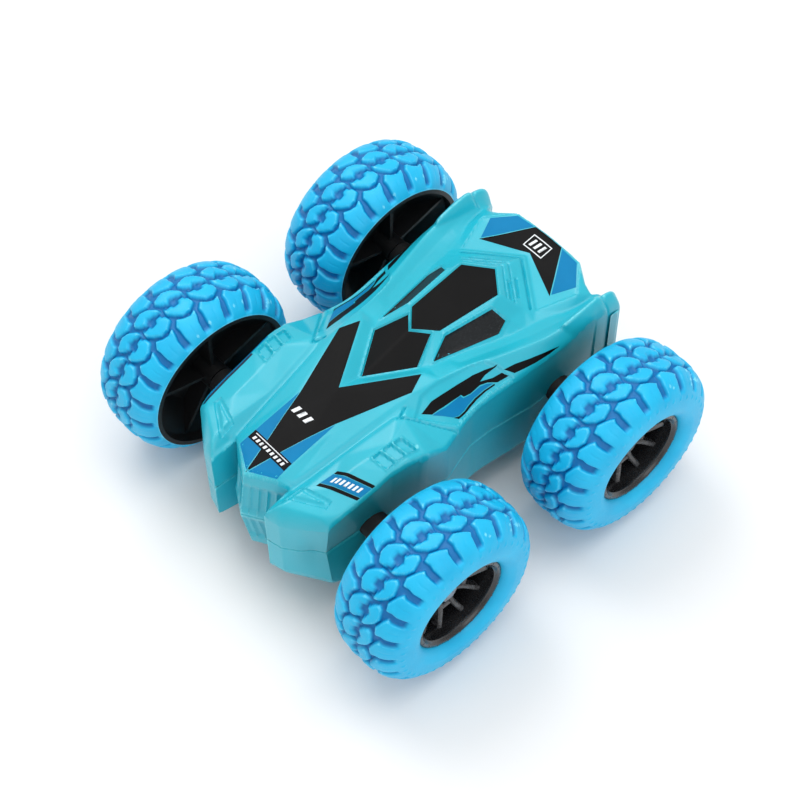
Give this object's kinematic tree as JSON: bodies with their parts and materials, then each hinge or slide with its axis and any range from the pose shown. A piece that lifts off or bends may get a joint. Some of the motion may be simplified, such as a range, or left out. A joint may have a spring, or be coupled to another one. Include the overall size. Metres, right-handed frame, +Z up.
{
  "type": "rc stunt car",
  "caption": "Small double-sided stunt car: low faceted body between oversized block-tread tyres on open black dished wheels, each rear wheel driven by its own geared motor.",
  "frame": {"origin": "on the floor, midway between the four tyres' contact patches", "axes": "+Z up, nose towards -Y, wheel axes along X"},
  "size_m": [0.1334, 0.132, 0.06],
  "materials": {
    "body_plastic": "satin moulded ABS",
    "dark_metal": "blackened steel screws",
    "black_inner_plastic": "matte black nylon",
    "battery_wrap": "shrink wrap",
    "circuit_board": "lacquered board",
    "switch_black": "matte",
    "axle_steel": "drawn rod",
    "bush_brass": "turned",
    "motor_can": "plated can",
    "pinion_brass": "turned",
    "gear_nylon": "natural nylon",
    "tyre_rubber": "soft moulded, matte",
    "wheel_plastic": "satin black"
  },
  "bodies": {
    "chassis": {"upper_shell": "body_plastic", "lower_shell": "body_plastic", "shell_screws": "dark_metal", "battery_door": "body_plastic", "battery_door_screw": "dark_metal", "battery_tray": "black_inner_plastic", "battery_pack": "battery_wrap", "receiver_board": "circuit_board", "board_screws": "dark_metal", "switch_body": "switch_black", "switch_screws": "dark_metal", "front_axle_carrier": "black_inner_plastic", "carrier_screws": "dark_metal", "front_axle": "axle_steel", "front_axle_nuts": "axle_steel", "gearbox_frame": "black_inner_plastic", "frame_screws": "dark_metal", "gearbox_cover_left": "black_inner_plastic", "gearbox_cover_right": "black_inner_plastic", "cover_screws": "dark_metal", "rear_axle_bushes": "bush_brass", "motor_left": "motor_can", "motor_right": "motor_can", "motor_clamp": "black_inner_plastic", "motor_clamp_screws": "dark_metal", "compound_shaft_left": "axle_steel", "compound_shaft_right": "axle_steel"},
    "wheel_front_left": {"tyre_front_left": "tyre_rubber", "wheel_rim_front_left": "wheel_plastic", "wheel_dish_front_left": "wheel_plastic", "wheel_bush_front_left": "bush_brass"},
    "wheel_front_right": {"tyre_front_right": "tyre_rubber", "wheel_rim_front_right": "wheel_plastic", "wheel_dish_front_right": "wheel_plastic", "wheel_bush_front_right": "bush_brass"},
    "wheel_rear_left": {"tyre_rear_left": "tyre_rubber", "wheel_rim_rear_left": "wheel_plastic", "wheel_dish_rear_left": "wheel_plastic", "rear_axle_left": "axle_steel", "axle_gear_left": "gear_nylon", "axle_clip_left": "axle_steel", "wheel_screw_rear_left": "dark_metal"},
    "wheel_rear_right": {"tyre_rear_right": "tyre_rubber", "wheel_rim_rear_right": "wheel_plastic", "wheel_dish_rear_right": "wheel_plastic", "rear_axle_right": "axle_steel", "axle_gear_right": "gear_nylon", "axle_clip_right": "axle_steel", "wheel_screw_rear_right": "dark_metal"},
    "idler_left": {"compound_gear_left": "gear_nylon"},
    "rotor_left": {"motor_pinion_left": "pinion_brass", "motor_shaft_left": "axle_steel"},
    "idler_right": {"compound_gear_right": "gear_nylon"},
    "rotor_right": {"motor_pinion_right": "pinion_brass", "motor_shaft_right": "axle_steel"},
    "power_switch": {"switch_knob": "switch_black"}
  },
  "joints": [
    {"name": "wheel_front_left_spin", "type": "hinge", "parent": "chassis", "child": "wheel_front_left", "pos_m": [-0.0529, -0.036, 0.03], "axis": [1, 0, 0], "continuous": true},
    {"name": "wheel_front_right_spin", "type": "hinge", "parent": "chassis", "child": "wheel_front_right", "pos_m": [0.0529, -0.036, 0.03], "axis": [1, 0, 0], "continuous": true},
    {"name": "wheel_rear_left_spin", "type": "hinge", "parent": "chassis", "child": "wheel_rear_left", "pos_m": [-0.0529, 0.036, 0.03], "axis": [1, 0, 0], "continuous": true},
    {"name": "wheel_rear_right_spin", "type": "hinge", "parent": "chassis", "child": "wheel_rear_right", "pos_m": [0.0529, 0.036, 0.03], "axis": [1, 0, 0], "continuous": true},
    {"name": "idler_left_spin", "type": "hinge", "parent": "chassis", "child": "idler_left", "pos_m": [-0.0197, 0.024, 0.03], "axis": [1, 0, 0], "continuous": true},
    {"name": "rotor_left_spin", "type": "hinge", "parent": "chassis", "child": "rotor_left", "pos_m": [-0.0182, 0.0115, 0.03], "axis": [1, 0, 0], "continuous": true},
    {"name": "idler_right_spin", "type": "hinge", "parent": "chassis", "child": "idler_right", "pos_m": [0.0197, 0.024, 0.03], "axis": [1, 0, 0], "continuous": true},
    {"name": "rotor_right_spin", "type": "hinge", "parent": "chassis", "child": "rotor_right", "pos_m": [0.0182, 0.0115, 0.03], "axis": [1, 0, 0], "continuous": true},
    {"name": "power_switch_slide", "type": "slide", "parent": "chassis", "child": "power_switch", "axis": [1, 0, 0], "range_m": [0, 0.003]}
  ],
  "couplings": [
    {"joint": "idler_left_spin", "follows": "wheel_rear_left_spin", "ratio": -3},
    {"joint": "rotor_left_spin", "follows": "wheel_rear_left_spin", "ratio": 12},
    {"joint": "idler_right_spin", "follows": "wheel_rear_right_spin", "ratio": -3},
    {"joint": "rotor_right_spin", "follows": "wheel_rear_right_spin", "ratio": 12}
  ]
}
